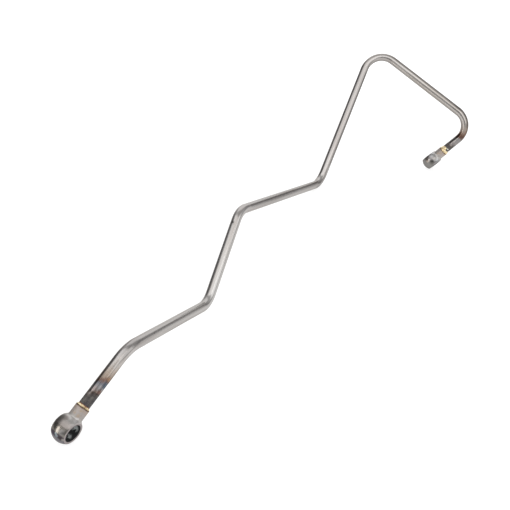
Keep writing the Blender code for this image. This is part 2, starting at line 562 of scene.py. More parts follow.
# Colour of the steel against distance from the joint (mm), for each end
INLET_TINTS = (
    (0.0, (0.085, 0.083, 0.084)),
    (6.0, (0.092, 0.088, 0.088)),
    (8.6, (0.085, 0.078, 0.075)),
    (10.4, (0.085, 0.065, 0.055)),
    (11.6, (0.21, 0.18, 0.168)),
    (13.5, (0.29, 0.27, 0.27)),
    (15.5, (0.28, 0.27, 0.275)),
    (17.8, (0.155, 0.16, 0.18)),
    (19.8, (0.16, 0.10, 0.08)),
    (22.5, (0.31, 0.25, 0.205)),
    (26.0, (0.39, 0.325, 0.275)),
    (31.0, (0.45, 0.415, 0.385)),
    (40.0, BARE_STEEL),
)
OUTLET_TINTS = (
    (0.0, (0.12, 0.115, 0.11)),
    (8.5, (0.11, 0.105, 0.10)),
    (10.0, (0.26, 0.25, 0.25)),
    (13.0, (0.27, 0.258, 0.256)),
    (19.4, (0.25, 0.243, 0.245)),
    (20.6, (0.19, 0.16, 0.145)),
    (21.6, (0.11, 0.066, 0.056)),
    (24.5, (0.14, 0.085, 0.065)),
    (27.5, (0.24, 0.165, 0.13)),
    (30.5, (0.36, 0.30, 0.255)),
    (35.0, (0.45, 0.41, 0.38)),
    (42.0, BARE_STEEL),
)
# Side that the flame played on (degrees), and how much further the colours reach there (mm)
FLAME_INLET = -95.0
FLAME_OUTLET = 150.0
FLAME_LEAN = 2.0
# Size of the ragged edges' blots, and how far the noise moves the colours in all (mm)
RAGGED_SIZE = 2.4
RAGGED_REACH = 7.0


def drawn_out(tree, blank, squeeze, size, detail=2.0, roughness=0.5):
    """Noise with blots that are longer along the tube, the more so the smaller the squeeze."""
    return cloudy(tree, stretched(tree, blank, (squeeze, 1.0, 1.0)), size, detail, roughness)


def temper_colours(tree, blank, length, angle):
    """The colours, and the distance from the joint that the heat gives them at (mm)."""
    from_other_end = minus(tree, TUBE_LENGTH / MM, length)
    distance = calculate(tree, "MINIMUM", length, from_other_end)
    ragged = drawn_out(tree, blank, 0.6, RAGGED_SIZE, detail=5.0, roughness=0.65)
    wander = times(tree, minus(tree, ragged, 0.5), RAGGED_REACH)
    outlet_half = calculate(tree, "GREATER_THAN", length, TUBE_LENGTH / MM / 2)
    from_one_to_other = times(tree, outlet_half, radians(FLAME_OUTLET - FLAME_INLET))
    flame_side = plus(tree, from_one_to_other, radians(FLAME_INLET))
    lean = times(tree, calculate(tree, "COSINE", minus(tree, angle, flame_side)), FLAME_LEAN)
    reached = plus(tree, minus(tree, distance, lean), wander)
    tint = blend_colours(tree, outlet_half, colour_steps(tree, reached, INLET_TINTS),
                         colour_steps(tree, reached, OUTLET_TINTS))
    return tint, reached


print("temper colours:", len(INLET_TINTS), "at the inlet and", len(OUTLET_TINTS), "at the outlet")

# %% [markdown]
# ## Scale, patches, flux and painted glints
#
# Scale is a crust of oxide: it flakes, soot clouds it, and at its border it comes away in specks. Flame
# and flux also leave patches on one side, and a thin burnt line where the brazing metal ends. A ramp
# along the tube can't give those, and painting them would need a picture. Noise over the crust and a few
# round spots, placed on the straight tube, give both. Four more spots beside the second fillet are painted
# glints.

# %% Scale next to the joint
# Where the scale thins and ends, and where its border of specks fades in and out (mm)
SCALE_END = (8.5, 12.0)
BORDER_IN = (6.5, 9.0)
BORDER_OUT = (12.0, 14.5)
# Sizes (mm)
FLAKE = 0.9
SOOT_CLOUD = 3.2
SPECK = 1.3
FLAKE_SHADES = (
    (0.3, (0.55, 0.52, 0.50)),
    (0.5, CLEAR),
    (0.62, (1.15, 1.12, 1.08)),
    (0.72, (1.7, 1.5, 1.25)),
)
SOOT_SHADES = ((0.35, (0.62, 0.58, 0.62)), (0.65, (1.22, 1.20, 1.12)))
SPECK_SHADES = (
    (0.34, (0.40, 0.37, 0.37)),
    (0.46, CLEAR),
    (0.55, CLEAR),
    (0.61, (1.35, 1.18, 1.10)),
    (0.70, (1.8, 1.65, 1.55)),
)


def crusted(tree, blank, reached, scaled, tint):
    """The tint with flakes and soot on the scale, and specks along its border."""
    flakes = cloudy(tree, blank, FLAKE, detail=4.0, roughness=0.7)
    tint = filmed(tree, scaled, tint, colour_steps(tree, flakes, FLAKE_SHADES))
    soot = cloudy(tree, blank, SOOT_CLOUD)
    tint = filmed(tree, scaled, tint, colour_steps(tree, soot, SOOT_SHADES))
    border = times(tree, between(tree, reached, *BORDER_IN), until(tree, reached, *BORDER_OUT))
    specks = cloudy(tree, blank, SPECK, detail=3.0, roughness=0.6)
    return filmed(tree, border, tint, colour_steps(tree, specks, SPECK_SHADES))


# %% Patches on one side of the tube, and painted glints
TUBE_R_MM = TUBE_OD / 2 / MM
# The burnt flux at the inlet's ring: its colour, and where it starts to fade and has gone (mm)
BURNT_FLUX = (0.22, 0.10, 0.06)
BURNT_END = (1.3, 1.7)
# Place along the straight tube (mm), angle (degrees), core and edge (mm), colour.
# The first five are patches of colour. The last four are painted glints: a thin bright rim beside the bite
# in the outlet's brazing metal, painted near white as light catching it.
TUBE_STAINS_AND_GLINTS = (
    (18.0, -104.0, 0.8, 3.2, (0.092, 0.115, 0.148)),
    (23.0, -118.0, 0.3, 2.3, (0.34, 0.220, 0.145)),
    (12.9, -121.0, 0.4, 2.0, (0.205, 0.125, 0.105)),
    (13.4, 174.0, 0.6, 2.6, (0.31, 0.27, 0.265)),
    (9.4, 163.0, 0.4, 1.8, (0.21, 0.185, 0.175)),
    (705.2, -169.0, 0.3, 0.75, (1.0, 0.98, 0.92)),
    (705.4, -160.0, 0.2, 0.60, (0.95, 0.95, 0.80)),
    (705.6, -150.0, 0.2, 0.55, (0.90, 0.92, 0.70)),
    (705.7, -138.0, 0.2, 0.55, (0.90, 0.86, 0.60)),
)


# Lays on the burnt flux line, the patches and the painted glints
def patched(tree, blank, length, tint):
    tint = blend_colours(tree, until(tree, length, *BURNT_END), tint, BURNT_FLUX)
    for place, turn, core, edge, colour in TUBE_STAINS_AND_GLINTS:
        centre = (place, TUBE_R_MM * cos(radians(turn)), TUBE_R_MM * sin(radians(turn)))
        tint = blend_colours(tree, spot(tree, blank, centre, core, edge), tint, colour)
    return tint


print("patches on the tube:", len(TUBE_STAINS_AND_GLINTS))

# %% [markdown]
# ## Drawing lines, rubbing, knocks, and painted light and shade
#
# A drawn tube is never plain: the die scores it from end to end, hands and rags rub it brighter in bands,
# and the bench leaves knocks. A brushed texture would repeat and run straight on at a bend. Noise that is
# very long along the tube gives the fine lines, and the plainest marks are laid out one by one on the
# straight tube. Light and shade are painted in here too: the steel is painted brighter and darker along its
# length, paler where it mirrors a lamp, and darker in broad bands where it mirrors the dim room, with a
# painted shadow in the bite of the second fillet.

# %% Lines from the die, rubbed bands, and painted light along the tube
# Width of a line, a rubbed band and a streak burnt in by the heat (mm)
LINE_WIDTH = 0.35
BAND_WIDTH = 1.6
STREAK_WIDTH = 1.0
# How much of the lines' shade shows
LINES_SHOW = 0.4
LINE_SHADES = ((0.0, (0.72, 0.70, 0.69)), (1.0, CLEAR))
BAND_SHADES = ((0.35, (0.86, 0.84, 0.83)), (0.5, CLEAR), (0.65, (1.08, 1.09, 1.10)))
STREAK_SHADES = ((0.36, (0.62, 0.60, 0.58)), (0.5, (0.98, 0.98, 0.98)), (0.62, (1.32, 1.30, 1.28)))
# Painted light and shade along the tube's length (mm): how much brighter (above 1) and darker (below 1) the
# steel is painted on each stretch
LIGHT_ALONG_TUBE = (
    (0.0, (1.03, 1.04, 1.05)),
    (33.0, (1.03, 1.04, 1.05)),
    (45.0, (0.96, 0.96, 0.97)),
    (100.0, (1.0, 1.01, 1.01)),
    (150.0, (1.06, 1.08, 1.09)),
    (200.0, (1.12, 1.14, 1.14)),
    (245.0, (1.11, 1.12, 1.14)),
    (290.0, (0.95, 0.96, 0.97)),
    (410.0, (0.98, 0.98, 0.98)),
    (480.0, (0.88, 0.87, 0.87)),
    (530.0, (0.84, 0.84, 0.84)),
    (560.0, CLEAR),
    (615.0, (0.97, 0.95, 0.91)),
    (672.0, (0.91, 0.90, 0.88)),
    (712.0, CLEAR),
)


def lined(tree, blank, length, line_shade, heated_steel, tint):
    """The tint with the die's lines, rubbed bands and streaks, which the heat makes plainer, and painted
    light and shade along the tube.
    """
    tint = filmed(tree, LINES_SHOW, tint, colour_steps(tree, line_shade, LINE_SHADES))
    bands = drawn_out(tree, blank, 0.03, BAND_WIDTH, detail=1.0)
    tint = filmed(tree, 1.0, tint, colour_steps(tree, bands, BAND_SHADES))
    streaks = drawn_out(tree, blank, 0.05, STREAK_WIDTH)
    tint = filmed(tree, heated_steel, tint, colour_steps(tree, streaks, STREAK_SHADES))
    return filmed(tree, 1.0, tint, colour_steps(tree, length, LIGHT_ALONG_TUBE))


# %% Marks one by one, with painted shade
# Marks on the straight tube: from and to (mm), angle (degrees), width (mm), darkness.
# Narrow long ones are the die's lines and short ones are specks and knocks. Long ones a millimetre or more
# wide are painted shade, dark reflections of the dim room, and the last is a painted shadow in the bite of
# the outlet's brazing metal.
MARKS_AND_SHADE = (
    (160.0, 236.0, 157.0, 0.35, 0.32),
    (166.0, 231.0, 117.0, 1.20, 0.42),
    (428.0, 534.0, 152.0, 0.30, 0.10),
    (424.0, 538.0, -113.0, 2.20, 0.55),
    (572.0, 668.0, -163.0, 0.40, 0.22),
    (224.8, 228.8, 152.0, 1.60, 0.90),
    (176.0, 177.4, 156.0, 0.50, 0.50),
    (189.0, 190.6, 150.0, 0.50, 0.50),
    (203.0, 204.2, 160.0, 0.45, 0.50),
    (212.0, 213.6, 153.0, 0.50, 0.45),
    (34.0, 58.0, -160.0, 3.60, 0.22),
    (18.0, 42.0, 136.0, 1.30, 0.35),
    (250.0, 400.0, -142.0, 2.40, 0.22),
    (396.0, 426.0, -142.0, 3.40, 0.20),
    (648.0, 678.0, 160.0, 1.50, 0.45),
    (560.0, 655.0, 147.0, 1.40, 0.30),
    (646.0, 686.0, 146.0, 1.80, 0.50),
    (390.0, 684.0, -98.0, 2.60, 0.36),
    (224.5, 226.0, 172.0, 0.45, 0.45),
    (45.5, 48.5, -150.0, 0.90, 0.40),
    (70.5, 73.5, -152.0, 0.60, 0.40),
    (604.0, 606.4, -159.0, 0.60, 0.45),
    (634.0, 637.0, 129.0, 0.80, 0.50),
    (705.8, 708.2, -156.0, 1.10, 0.85),
)
# Painted sheen: bands painted paler where the steel mirrors a lamp, in the same terms, with how much paler
PAINTED_SHEENS = (
    (22.0, 40.0, -131.0, 1.8, 0.14),
    (38.0, 54.0, -121.0, 2.2, 0.12),
    (58.0, 144.0, -156.0, 1.4, 0.09),
    (148.0, 164.0, -142.0, 2.4, 0.07),
    (166.0, 231.0, 147.0, 1.2, 0.12),
    (400.0, 422.0, 165.0, 3.0, 0.12),
    (424.0, 538.0, 142.0, 1.9, 0.20),
    (575.0, 655.0, -154.0, 1.6, 0.15),
    (575.0, 655.0, 160.0, 1.5, 0.08),
    (658.0, 686.0, -155.0, 2.8, 0.12),
)
# Colour of the painted sheen
SHEEN_COLOUR = (1.0, 0.98, 0.96)
# Colour of the marks and of the painted shade
GRIME_AND_SHADE = (0.03, 0.028, 0.026)
# The longest soft end of a mark (mm), and the share of its width that is fully marked
SOFT_END = 8.0
MARK_CORE = 0.2


def mark_on_tube(tree, length, angle, start, end, turn, width):
    """1 on one mark and 0 off it, with soft ends and sides."""
    soft = min(SOFT_END, (end - start) / 2)
    ends = times(tree, between(tree, length, start, start + soft), until(tree, length, end - soft, end))
    off = calculate(tree, "WRAP", minus(tree, angle, radians(turn)), pi, -pi)
    arc = times(tree, calculate(tree, "ABSOLUTE", off), TUBE_R_MM)
    return times(tree, ends, until(tree, arc, width * MARK_CORE, width))


# Paints the sheen bands paler, then darkens the marks, among them painted shade and a painted shadow
def marked(tree, length, angle, tint):
    for *where, paler in PAINTED_SHEENS:
        sheen = times(tree, mark_on_tube(tree, length, angle, *where), paler)
        tint = blend_colours(tree, sheen, tint, SHEEN_COLOUR)
    marks = 0.0
    for *where, darkness in MARKS_AND_SHADE:
        mark = times(tree, mark_on_tube(tree, length, angle, *where), darkness)
        marks = calculate(tree, "MAXIMUM", marks, mark)
    return blend_colours(tree, marks, tint, GRIME_AND_SHADE)


print("marks", len(MARKS_AND_SHADE), "rubbed bands", len(PAINTED_SHEENS))

# %% [markdown]
# ## Drawn steel, put together
#
# Colour alone would leave the scale as shiny as the steel. Scale is an oxide, duller and hardly metallic,
# and the temper colours are a thin film that blurs what the steel mirrors. So the shares that lay out the
# colours set the roughness and the metal too, and the die's lines stand up as a faint relief.

# %% Drawn steel
# Where the heat's colours start to fade and have gone (mm)
HEAT_END = (18.0, 34.0)
STEEL_ROUGHNESS = 0.18
# What the lines, the heat and the scale add to the roughness
LINES_BLUR = 0.08
HEAT_BLURS = 0.07
SCALE_BLURS = 0.24
SCALE_NOT_METAL = 0.7


def drawn_steel():
    material, tree, shader = new_finish("drawn_steel")
    blank = carried_place(tree, "blank")
    length, across_y, across_z = parts_of(tree, blank)
    angle = calculate(tree, "ARCTAN2", across_z, across_y)
    tint, reached = temper_colours(tree, blank, length, angle)
    scaled = until(tree, reached, *SCALE_END)
    heated = until(tree, reached, *HEAT_END)
    lines = drawn_out(tree, blank, 0.02, LINE_WIDTH, detail=4.0, roughness=0.6)
    line_shade = between(tree, lines, 0.3, 0.7)

    tint = crusted(tree, blank, reached, scaled, tint)
    tint = patched(tree, blank, length, tint)
    tint = lined(tree, blank, length, line_shade, times(tree, heated, opposite(tree, scaled)), tint)
    feed(tree, shader.inputs["Base Color"], marked(tree, length, angle, tint))

    oxide = plus(tree, times(tree, scaled, SCALE_BLURS), times(tree, heated, HEAT_BLURS))
    bare = plus(tree, STEEL_ROUGHNESS, times(tree, line_shade, LINES_BLUR))
    feed(tree, shader.inputs["Roughness"], plus(tree, oxide, bare))
    feed(tree, shader.inputs["Metallic"], opposite(tree, times(tree, scaled, SCALE_NOT_METAL)))
    # A dull oxide film takes some of the shine off the edges
    shader.inputs["Specular Tint"].default_value = (0.72, 0.71, 0.70, 1.0)
    add_relief(tree, shader, lines, 0.25, 0.05 * MM)
    print("drawn steel nodes", len(tree.nodes))
    return material


tube.data.materials.append(drawn_steel())

# %% [markdown]
# ## The banjo eyes
#
# Each eye starts as bar in a lathe: a ball on a neck, with a socket for the tube and a drilling towards
# the ball. Then it is held across, faced on both sides and bored for the hollow bolt. The mesh goes the
# same way. The half section is drawn with straight strokes and arcs and spun about the neck, and one
# turned cutter, spun about the bore, mills the faces and the bore in one cut. An ear modelled face by
# face would never be as round.

# %% Drawing and spinning a half section
BALL_R = 9.7 * MM
HALF_ACROSS = 6.0 * MM
BORE_R = 6.0 * MM
NECK_R = 5.0 * MM
NECK_REACH = 16.5 * MM
ROOT_R = 1.6 * MM
SOCKET_R = 4.05 * MM
SOCKET_DEPTH = 7.5 * MM
DRILLING_R = 2.5 * MM
MOUTH_CHAMFER = 0.4 * MM
SPIN_STEPS = 128
# Points closer than this after a spin are one
SAME_POINT = 0.001 * MM


def pen(shape, x, y):
    """Puts the pen down on a new sheet."""
    return shape.verts.new((x, y, 0.0))


def line_to(shape, last, x, y):
    new = bmesh.ops.extrude_vert_indiv(shape, verts=[last])["verts"][0]
    new.co = (x, y, 0.0)
    return new


def arc_to(shape, last, centre, angle, steps):
    """Sweeps the pen about a centre. A positive angle turns from +X towards +Y."""
    swept = bmesh.ops.spin(shape, geom=[last], cent=(*centre, 0.0), axis=(0.0, 0.0, 1.0),
                           angle=angle, steps=steps)
    return [item for item in swept["geom_last"] if isinstance(item, bmesh.types.BMVert)][0]


def spin_about_x(shape, steps=SPIN_STEPS):
    bmesh.ops.spin(shape, geom=shape.verts[:] + shape.edges[:], cent=(0.0, 0.0, 0.0),
                   axis=(1.0, 0.0, 0.0), angle=2 * pi, steps=steps, use_merge=True)
    bmesh.ops.remove_doubles(shape, verts=shape.verts, dist=SAME_POINT)
    bmesh.ops.recalc_face_normals(shape, faces=shape.faces)


# %% Turn the blank
ROOT_STEPS = 10
BALL_STEPS = 48


def eye_blank():
    shape = bmesh.new()
    socket_floor = NECK_REACH - SOCKET_DEPTH
    # The root's arc meets the neck and the ball without a corner
    root_x = sqrt((BALL_R + ROOT_R) ** 2 - (NECK_R + ROOT_R) ** 2)
    ball_start = asin((NECK_R + ROOT_R) / (BALL_R + ROOT_R))
    strokes = (
        (0.0, DRILLING_R),
        (socket_floor, DRILLING_R),
        (socket_floor, SOCKET_R),
        (NECK_REACH, SOCKET_R),
        (NECK_REACH, NECK_R - MOUTH_CHAMFER),
        (NECK_REACH - MOUTH_CHAMFER, NECK_R),
        (root_x, NECK_R),
    )
    tip = pen(shape, 0.0, 0.0)
    for x, y in strokes:
        tip = line_to(shape, tip, x, y)
    tip = arc_to(shape, tip, (root_x, NECK_R + ROOT_R), ball_start - pi / 2, ROOT_STEPS)
    arc_to(shape, tip, (0.0, 0.0), pi - ball_start, BALL_STEPS)
    spin_about_x(shape)
    return shape


# %% Turn the cutter that mills both faces and the bore
BORE_CHAMFER = 0.3 * MM
# The broken edge of a face: how far in it starts, how wide it is and how far it falls
EDGE_BREAK = 0.35 * MM
EDGE_WIDTH = 0.6 * MM
EDGE_FALL = 0.22 * MM
CUTTER_REACH = 14.0 * MM
CUTTER_R = 30.0 * MM


def milling_cutter():
    """Spun about X here, and stood on the bore's axis by the caller."""
    shape = bmesh.new()
    face_edge = sqrt(BALL_R ** 2 - HALF_ACROSS ** 2) - EDGE_BREAK
    half = (
        (CUTTER_REACH, 0.0),
        (CUTTER_REACH, CUTTER_R),
        (HALF_ACROSS - EDGE_FALL, CUTTER_R),
        (HALF_ACROSS - EDGE_FALL, face_edge + EDGE_WIDTH),
        (HALF_ACROSS, face_edge),
        (HALF_ACROSS, BORE_R + BORE_CHAMFER),
        (HALF_ACROSS - BORE_CHAMFER, BORE_R),
    )
    tip = pen(shape, *half[0])
    for x, y in half[1:]:
        tip = line_to(shape, tip, x, y)
    for x, y in reversed(half):
        tip = line_to(shape, tip, -x, y)
    spin_about_x(shape)
    return shape


# %% Mill an eye and lay it in place
def milled(name, blank, cutter):
    """The blank less the cutter, as a new bmesh."""
    body = make_object(name + "_blank", blank)
    tool = make_object(name + "_cutter", cutter)
    cut = body.modifiers.new("mill", "BOOLEAN")
    cut.operation = "DIFFERENCE"
    cut.solver = "EXACT"
    cut.object = tool
    bpy.context.view_layer.update()
    result = bmesh.new()
    result.from_object(body, bpy.context.evaluated_depsgraph_get())
    for spent in (body, tool):
        bpy.data.objects.remove(spent)
    return result


def lay_down(shape, place):
    """Keeps each point's own place in the layer "own", then moves the mesh to where it belongs."""
    layer = shape.verts.layers.float_vector.new("own")
    for vertex in shape.verts:
        vertex[layer] = vertex.co
    bmesh.ops.transform(shape, matrix=place, verts=shape.verts)


# %% Both eyes
# Edges that turn more than this are sharp (degrees)
SHARP = 20.0
# How each eye is turned about the tube (degrees)
FIRST_CLOCK, SECOND_CLOCK = -10.0, 98.0
# Where along its neck each eye's tints stop changing (mm from the middle of its ball)
INLET_COOL_END, OUTLET_COOL_END = -9.7, -3.5


def make_eye(name, place, cool_end):
    cutter = milling_cutter()
    bmesh.ops.rotate(cutter, verts=cutter.verts, matrix=Matrix.Rotation(pi / 2, 3, "Y"))
    # A small turn about the bore keeps the cutter's lines off the blank's
    bmesh.ops.rotate(cutter, verts=cutter.verts, matrix=Matrix.Rotation(pi / SPIN_STEPS / 2, 3, "Z"))
    shape = milled(name, eye_blank(), cutter)
    lay_down(shape, place)
    limit = shape.verts.layers.float.new("cool_end")
    for vertex in shape.verts:
        vertex[limit] = cool_end
    eye = make_object(name, shape)
    eye.data.set_sharp_from_angle(angle=radians(SHARP))
    print(name, "faces", len(eye.data.polygons))
    return eye


first_joint = lying @ Matrix.Rotation(radians(FIRST_CLOCK), 4, "X")
second_joint = second_mouth @ Matrix.Rotation(radians(SECOND_CLOCK), 4, "X") @ Matrix.Rotation(pi, 4, "Z")
first_eye = make_eye("inlet_eye", along(first_joint, -NECK_REACH), INLET_COOL_END)
second_eye = make_eye("outlet_eye", along(second_joint, -NECK_REACH), OUTLET_COOL_END)

# %% [markdown]
# ## Turned steel, tinted by the heat
#
# The eyes went through the same fire. The flame played on the neck, so its colour fades in bands towards
# the far end: pinkish grey at the neck, grey-brown on the ball, and a dark purple band past it on the
# first eye. The bands carry painted light too: a painted highlight at the root, and sharp steps and the
# dark band on the first ball that stand partly for reflected edges of the lamps and the shaded floor. The
# second eye could have its own material, but the two would drift apart at each change.
# Both wear one finish here, and the number "cool_end" on each eye says where its bands stop. All of it is
# laid out on the layer "own", where the neck runs along X and the bore along Z.

# %% Bands along the neck and the ball
# Colour of an eye along its neck (mm from the middle of the ball; the mouth is at 16.5), partly heat
# tint and partly painted light: 5.8 to 7.6 is a painted highlight at the root, and the steps at 0.4 to 0.8
# and -7.3 to -4.2, with the dark band between them, are partly painted reflections of lamp edges and shade
EYE_BANDS_AND_LIGHT = (
    (-9.7, (0.27, 0.26, 0.26)),
    (-8.1, (0.25, 0.245, 0.25)),
    (-7.3, (0.17, 0.17, 0.19)),
    (-6.6, (0.07, 0.06, 0.08)),
    (-5.0, (0.075, 0.065, 0.075)),
    (-4.2, (0.23, 0.215, 0.195)),
    (0.4, (0.24, 0.22, 0.20)),
    (0.8, (0.29, 0.262, 0.247)),
    (3.8, (0.30, 0.277, 0.265)),
    (5.8, (0.42, 0.41, 0.395)),
    (7.6, (0.52, 0.505, 0.49)),
    (9.5, (0.455, 0.435, 0.415)),
    (15.3, (0.475, 0.42, 0.395)),
    (15.9, (0.20, 0.13, 0.095)),
    (16.5, (0.10, 0.075, 0.05)),
)
# Size of the blots that move the bands, and how far they move them in all (mm)
BLOT = 3.0
BLOT_REACH = 0.8
# Size of the grain (mm), how much of it shows, and its shades
GRAIN = 0.5
GRAIN_SHOWS = 0.8
GRAIN_SHADES = ((0.3, (0.78, 0.75, 0.72)), (0.5, CLEAR), (0.7, (1.12, 1.10, 1.10)))
# Freckles on the neck: their size and where along it they set in (mm), and their colour
FRECKLE = 2.2
FRECKLES_START = (8.0, 11.0)
FRECKLE_COLOUR = (0.47, 0.39, 0.32)


def banded(tree, own, x, cool_end):
    wander = times(tree, minus(tree, cloudy(tree, own, BLOT, detail=4.0), 0.5), BLOT_REACH)
    heated = calculate(tree, "MAXIMUM", plus(tree, x, wander), cool_end)
    grain = cloudy(tree, own, GRAIN, detail=3.0, roughness=0.7)
    tint = filmed(tree, GRAIN_SHOWS, colour_steps(tree, heated, EYE_BANDS_AND_LIGHT),
                  colour_steps(tree, grain, GRAIN_SHADES))
    freckles = between(tree, cloudy(tree, own, FRECKLE, detail=3.0), 0.5, 0.64)
    on_neck = between(tree, x, *FRECKLES_START)
    return blend_colours(tree, times(tree, on_neck, freckles), tint, FRECKLE_COLOUR)


print("bands on an eye:", len(EYE_BANDS_AND_LIGHT))

# %% [markdown]
# ## Painted light on the balls, milled faces and the bore
#
# Each ball carries single patches of painted light and shade, darker or paler than the bands: painted
# highlights, painted reflections of the lamps and the room, and painted shade. They could be painted in a
# picture. Here each is a soft round spot at a place on its own eye, so one line of a table moves it. The
# faces were milled afterwards and are paler. The bore is nearly black, partly oil and partly painted shade,
# with two painted glints of reflected light.

# %% Painted light and shade on each ball
# Painted highlights, reflections and shade: on the inlet eye or not, centre, core and edge (mm), colour
LIGHT_AND_SHADE_SPOTS = (
    (True, (-6.6, -5.9, -3.8), 0.8, 2.6, (0.050, 0.042, 0.040)),
    (True, (-5.4, -8.0, -0.3), 0.4, 1.3, (0.20, 0.235, 0.245)),
    (True, (-6.2, -7.2, -1.3), 0.4, 1.4, (0.19, 0.215, 0.225)),
    (True, (-2.6, -8.6, -3.6), 0.6, 2.6, (0.41, 0.39, 0.375)),
    (True, (5.6, -7.9, 0.8), 0.5, 3.0, (0.25, 0.222, 0.210)),
    (True, (4.4, -8.0, 3.4), 1.0, 4.0, (0.18, 0.17, 0.158)),
    (True, (-6.2, -4.9, -5.6), 0.5, 1.9, (0.25, 0.235, 0.225)),
    (True, (-7.9, -4.8, -2.7), 0.8, 2.3, (0.17, 0.165, 0.18)),
    (True, (0.0, -7.6, -6.0), 0.6, 2.4, (0.15, 0.142, 0.13)),
    (True, (7.4, -4.6, -4.3), 0.3, 2.2, (0.72, 0.70, 0.69)),
    (True, (8.7, -3.6, -3.6), 0.2, 1.1, (0.62, 0.60, 0.59)),
    (True, (9.1, -2.8, -4.0), 0.2, 1.1, (0.62, 0.60, 0.59)),
    (False, (1.6, 9.0, 2.8), 0.9, 3.8, (0.152, 0.147, 0.136)),
    (False, (5.8, 7.5, 0.5), 1.4, 3.6, (0.30, 0.285, 0.275)),
    (False, (-1.7, 9.4, -1.6), 0.4, 1.7, (0.44, 0.365, 0.315)),
    (False, (0.0, 9.0, -3.8), 0.4, 1.6, (0.43, 0.375, 0.335)),
)
# The outlet eye's ball cooled to a bluer grey, up to its root (mm)
BLUER = (0.96, 1.0, 1.05)
BLUER_END = (6.0, 9.0)


# Tints the outlet's ball bluer, then lays on each spot of painted light and shade
def bluer_with_painted_light(tree, own, x, inlet_eye, tint):
    outlet_eye = opposite(tree, inlet_eye)
    tint = filmed(tree, times(tree, outlet_eye, until(tree, x, *BLUER_END)), tint, BLUER)
    for is_inlet, centre, core, edge, colour in LIGHT_AND_SHADE_SPOTS:
        this_eye = inlet_eye if is_inlet else outlet_eye
        here = times(tree, this_eye, spot(tree, own, centre, core, edge))
        tint = blend_colours(tree, here, tint, colour)
    return tint


print("stains on the eyes:", len(LIGHT_AND_SHADE_SPOTS))

# %% Milled faces and the bore
FACE_COLOUR = (0.34, 0.305, 0.305)
# The bore's colour: nearly black, partly oil and partly painted shade in the recess, with painted glints of
# reflected light
OIL_AND_SHADE = (0.030, 0.032, 0.033)
BORE_GLINT = (0.75, 0.80, 0.79)
# How far short of a face its colour starts and is full, and how far past its wall the bore's fades (mm)
FACE_START = (0.12, 0.02)
BORE_END = (0.1, 0.25)
# How bright the second painted glint is as a share of the first, and the size of the blots that break the
# glints up (mm)
SECOND_GLINT_SHARE = 0.7
GLINT_BLOT = 2.2


def face_share(tree, z):
    """1 on both milled faces, which lie across Z."""
    low, high = (HALF_ACROSS / MM - short for short in FACE_START)
    return between(tree, calculate(tree, "ABSOLUTE", z), low, high)


def bore_share(tree, x, y):
    """1 inside the bore, which runs along Z."""
    squares = plus(tree, times(tree, x, x), times(tree, y, y))
    low, high = (BORE_R / MM + beyond for beyond in BORE_END)
    return until(tree, calculate(tree, "SQRT", squares), low, high)


# Painted glints of reflected light in two places on the bore's dark wall
def painted_bore_glints(tree, own):
    once = spot(tree, own, (3.0, 5.2, -1.6), 1.4, 3.5)
    again = times(tree, spot(tree, own, (-3.7, 4.7, -1.9), 0.8, 2.8), SECOND_GLINT_SHARE)
    broken_up = between(tree, cloudy(tree, own, GLINT_BLOT), 0.38, 0.58)
    glinting = times(tree, calculate(tree, "MAXIMUM", once, again), broken_up)
    return blend_colours(tree, glinting, OIL_AND_SHADE, BORE_GLINT)


# %% Tinted steel
# A cool_end above the first is the outlet eye's, one below the second is the inlet eye's
EYE_SPLIT = (-5.0, -6.0)
EYE_ROUGHNESS = 0.21
# What dulls the steel: being a milled face, a neck, a ball, the near half of the inlet's ball, or a bore
FACE_DULL = 0.17
NECK_DULL = 0.36
BALL_DULL = 0.04
NEAR_HALF_DULL = 0.08
BORE_DULL = 0.3
BORE_NOT_METAL = 0.75
# Where along the neck each of these sets in (mm)
NEAR_HALF_START = (0.4, 0.8)
NECK_START = (7.0, 10.0)


def tinted_steel():
    material, tree, shader = new_finish("tinted_steel")
    own = carried_place(tree, "own")
    x, y, z = parts_of(tree, own)
    cool_end = add_node(tree, "Attribute", attribute_name="cool_end").outputs["Fac"]
    inlet_eye = between(tree, cool_end, *EYE_SPLIT)
    face = face_share(tree, z)
    bore = bore_share(tree, x, y)

    tint = bluer_with_painted_light(tree, own, x, inlet_eye, banded(tree, own, x, cool_end))
    tint = blend_colours(tree, face, tint, FACE_COLOUR)
    feed(tree, shader.inputs["Base Color"], blend_colours(tree, bore, tint, painted_bore_glints(tree, own)))

    # The neck and the ball's near half were closer to the flame and lost their shine
    near_half = times(tree, between(tree, x, *NEAR_HALF_START), times(tree, inlet_eye, NEAR_HALF_DULL))
    neck = times(tree, between(tree, x, *NECK_START), NECK_DULL)
    dulled = plus(tree, neck, plus(tree, BALL_DULL, near_half))
    dullest = calculate(tree, "MAXIMUM", times(tree, face, FACE_DULL), dulled)
    rough = plus(tree, plus(tree, EYE_ROUGHNESS, dullest), times(tree, bore, BORE_DULL))
    feed(tree, shader.inputs["Roughness"], rough)
    feed(tree, shader.inputs["Metallic"], opposite(tree, times(tree, bore, BORE_NOT_METAL)))
    shader.inputs["Specular Tint"].default_value = (0.6, 0.58, 0.57, 1.0)
    # The lathe tool leaves fine rings round the neck
    rings = cloudy(tree, stretched(tree, own, (8.0, 0.05, 0.05)), 1.0, detail=3.0)
    add_relief(tree, shader, rings, 0.15, 0.03 * MM)
    print("tinted steel nodes", len(tree.nodes))
    return material


eye_steel = tinted_steel()
for eye in (first_eye, second_eye):
    eye.data.materials.append(eye_steel)

# %% [markdown]
# ## The brazing metal
#
# Brazing metal runs into the joint and sets as a hollow fillet, never as a machined ring. A torus would
# be quicker and would look like a gasket. Each fillet is spun from a small section, whose two ends meet
# inside the tube's wall, so that it is one closed body. Then its points are pushed about by smooth noise,
# and its toe is drawn further along the tube on one side. At the second eye the metal drew back as it
# set, and left a bite in the toe.

